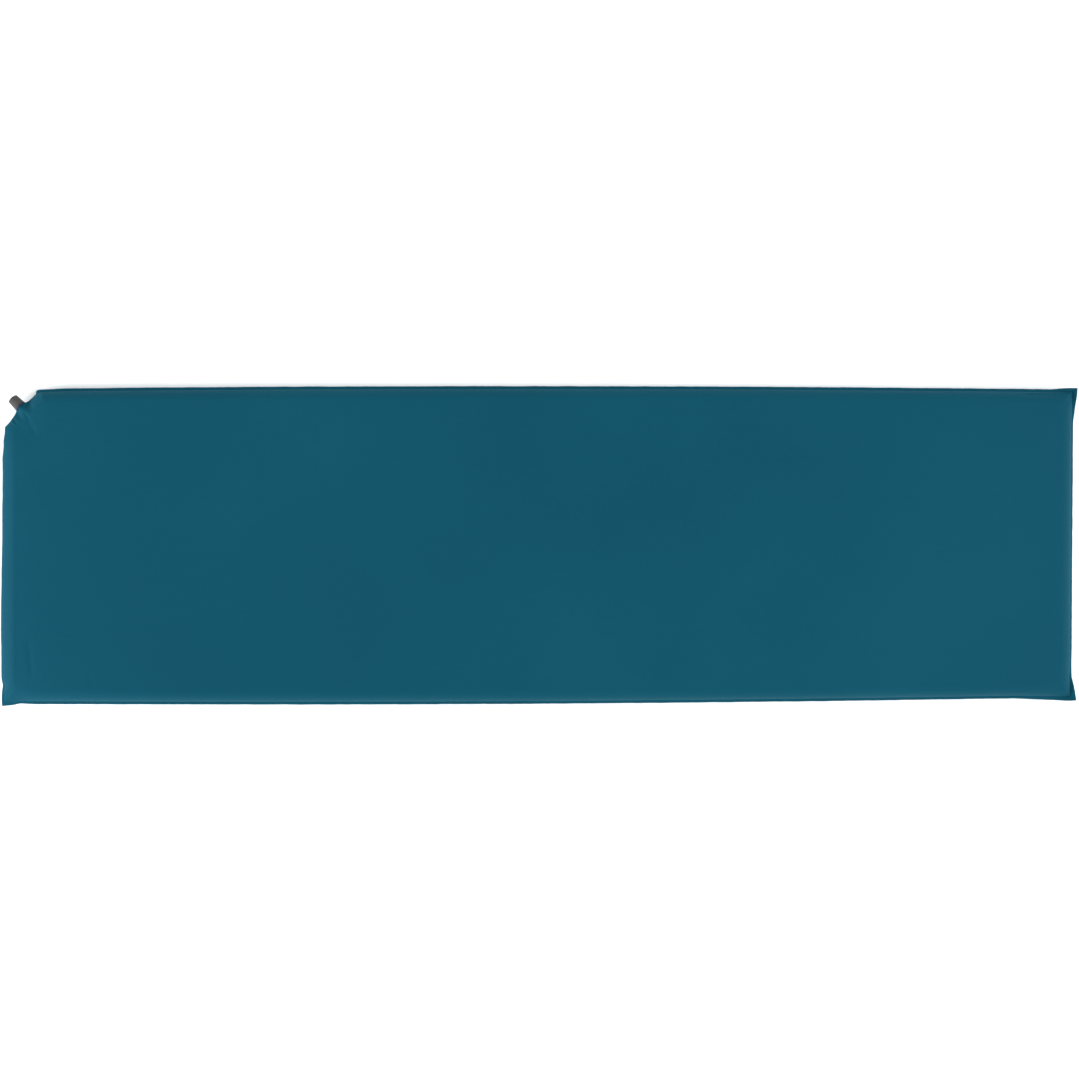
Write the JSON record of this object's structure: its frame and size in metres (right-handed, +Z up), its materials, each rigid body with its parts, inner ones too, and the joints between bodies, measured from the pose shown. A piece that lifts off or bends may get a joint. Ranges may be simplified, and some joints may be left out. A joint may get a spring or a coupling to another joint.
{
  "type": "inflatable sleeping pad",
  "caption": "Self-inflating camping pad: a foam slab sealed in coated cloth covers with a welded seam, an anti-slip print underneath and a screw valve in one cut corner.",
  "frame": {"origin": "centre of the face the pad lies on, at floor level", "axes": "+X along the pad away from the valve end, +Y across it towards the valve's side, +Z up; the valve's axis points along -X +Y"},
  "size_m": [1.85, 0.5459, 0.03],
  "materials": {
    "top_cloth": "matte",
    "under_cloth": "matte",
    "film": "satin",
    "foam": "matte",
    "print": "matte",
    "base_plastic": "satin",
    "stem_plastic": "satin",
    "cap_plastic": "satin",
    "seal": "matte",
    "gasket": "matte"
  },
  "bodies": {
    "pad": {"top_cover": "top_cloth", "top_film": "film", "foam_core": "foam", "bottom_film": "film", "bottom_cover": "under_cloth", "grip_print": "print", "valve_base": "base_plastic", "valve_stem": "stem_plastic", "valve_core": "stem_plastic", "stem_o_ring": "seal", "cap_stop_ring": "stem_plastic"},
    "gasket": {"cap_gasket": "gasket"},
    "cap": {"valve_cap": "cap_plastic"}
  },
  "joints": [
    {"name": "cap_lift", "type": "slide", "parent": "pad", "child": "gasket", "axis": [-0.7071, 0.7071, 0], "range_m": [0, 0.0045]},
    {"name": "cap_turn", "type": "hinge", "parent": "gasket", "child": "cap", "pos_m": [-0.89, 0.2355, 0.01525], "axis": [-0.7071, 0.7071, 0], "range_deg": [0, 540]}
  ],
  "couplings": [
    {"joint": "cap_turn", "follows": "cap_lift", "rad_per_m": 2094.4}
  ]
}
